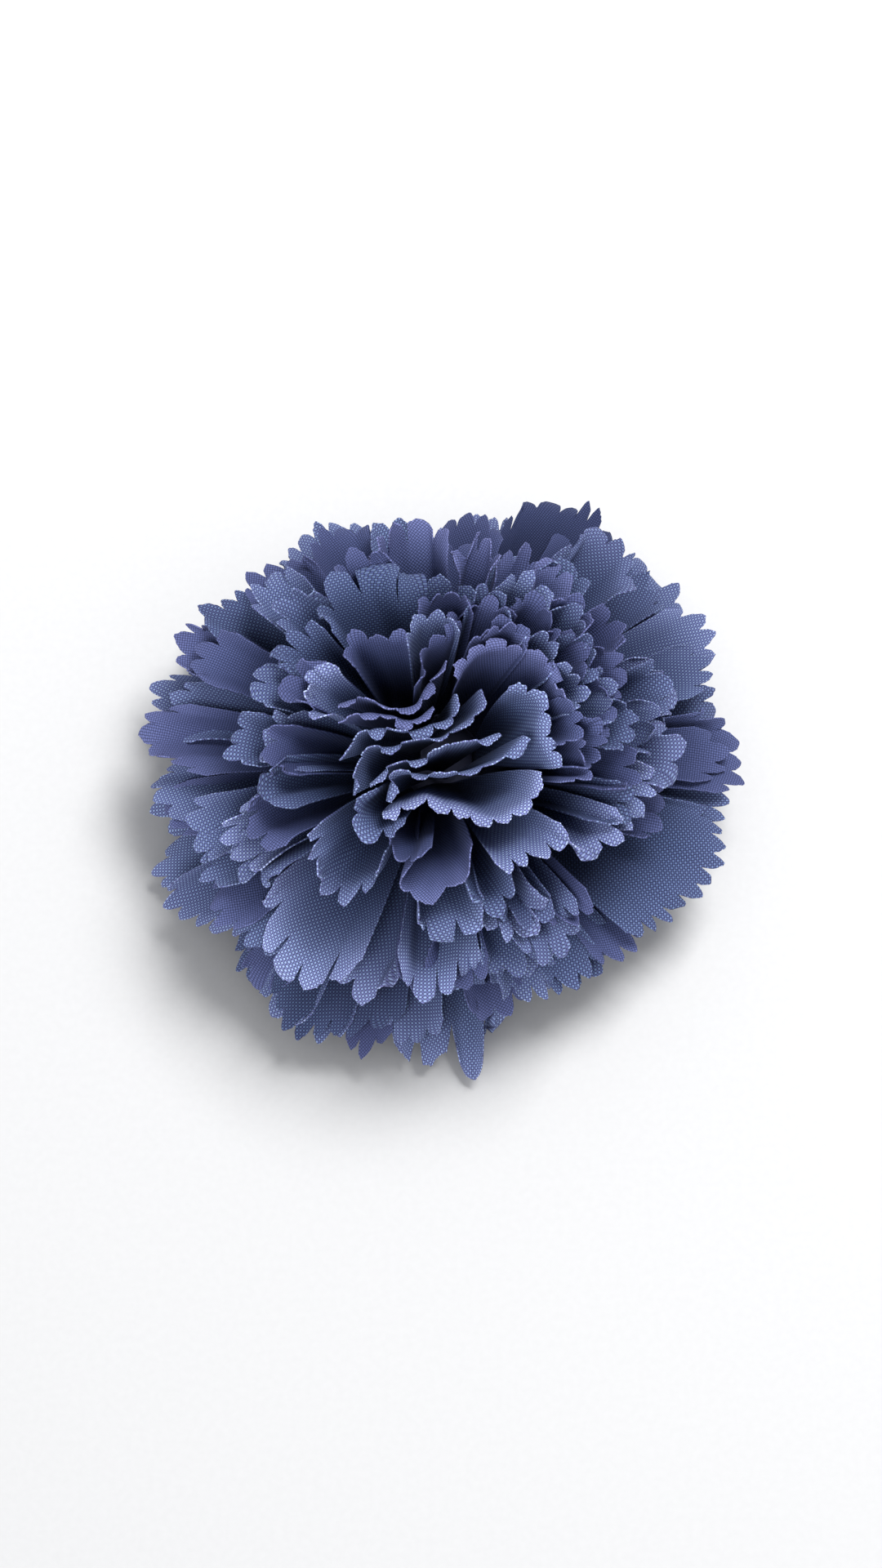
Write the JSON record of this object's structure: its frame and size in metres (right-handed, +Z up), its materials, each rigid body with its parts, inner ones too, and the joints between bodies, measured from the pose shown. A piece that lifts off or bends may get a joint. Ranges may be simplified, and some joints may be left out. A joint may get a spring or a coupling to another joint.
{
  "type": "carnation head",
  "caption": "Full carnation head of toothed, ruffled cloth petals opening upwards from a small calyx, to lie or stand face up.",
  "frame": {"origin": "under the middle of the head, on the surface it rests on", "axes": "+Z up through the crown, +X to the right and +Y to the back as the head is seen from its front"},
  "size_m": [0.0898, 0.0876, 0.0458],
  "materials": {
    "cloth_slate": "matt woven polyester, slate blue",
    "cloth_violet": "matt woven polyester, blue shading to violet",
    "cloth_pale": "matt woven polyester, pale blue",
    "calyx_plastic": "moulded green plastic",
    "core_foam": "moulded foam, dyed dark blue"
  },
  "bodies": {
    "root": {"calyx": "calyx_plastic", "core": "core_foam", "outer_petal_01": "cloth_pale", "outer_petal_02": "cloth_pale", "outer_petal_03": "cloth_violet", "outer_petal_04": "cloth_pale", "outer_petal_05": "cloth_pale", "outer_petal_06": "cloth_slate", "outer_petal_07": "cloth_violet", "outer_petal_08": "cloth_slate", "outer_petal_09": "cloth_slate", "outer_petal_10": "cloth_slate", "outer_petal_11": "cloth_slate", "outer_petal_12": "cloth_slate", "outer_petal_13": "cloth_slate", "outer_petal_14": "cloth_slate", "outer_petal_15": "cloth_pale", "outer_petal_16": "cloth_violet", "outer_petal_17": "cloth_pale", "outer_petal_18": "cloth_violet", "outer_petal_19": "cloth_slate", "outer_petal_20": "cloth_violet", "middle_petal_01": "cloth_slate", "middle_petal_02": "cloth_violet", "middle_petal_03": "cloth_violet", "middle_petal_04": "cloth_violet", "middle_petal_05": "cloth_violet", "middle_petal_06": "cloth_pale", "middle_petal_07": "cloth_slate", "middle_petal_08": "cloth_pale", "middle_petal_09": "cloth_pale", "middle_petal_10": "cloth_slate", "middle_petal_11": "cloth_slate", "middle_petal_12": "cloth_slate", "middle_petal_13": "cloth_slate", "middle_petal_14": "cloth_violet", "middle_petal_15": "cloth_slate", "middle_petal_16": "cloth_slate", "middle_petal_17": "cloth_slate", "middle_petal_18": "cloth_pale", "middle_petal_19": "cloth_pale", "middle_petal_20": "cloth_pale", "middle_petal_21": "cloth_slate", "middle_petal_22": "cloth_slate", "inner_petal_01": "cloth_violet", "inner_petal_02": "cloth_violet", "inner_petal_03": "cloth_violet", "inner_petal_04": "cloth_violet", "inner_petal_05": "cloth_violet", "inner_petal_06": "cloth_violet", "inner_petal_07": "cloth_violet", "crown_petal_01": "cloth_violet", "crown_petal_02": "cloth_violet", "crown_petal_03": "cloth_slate", "crown_petal_04": "cloth_slate", "crown_petal_05": "cloth_slate", "crown_petal_06": "cloth_slate", "crown_petal_07": "cloth_pale", "crown_petal_08": "cloth_slate", "crown_petal_09": "cloth_violet"}
  },
  "joints": []
}
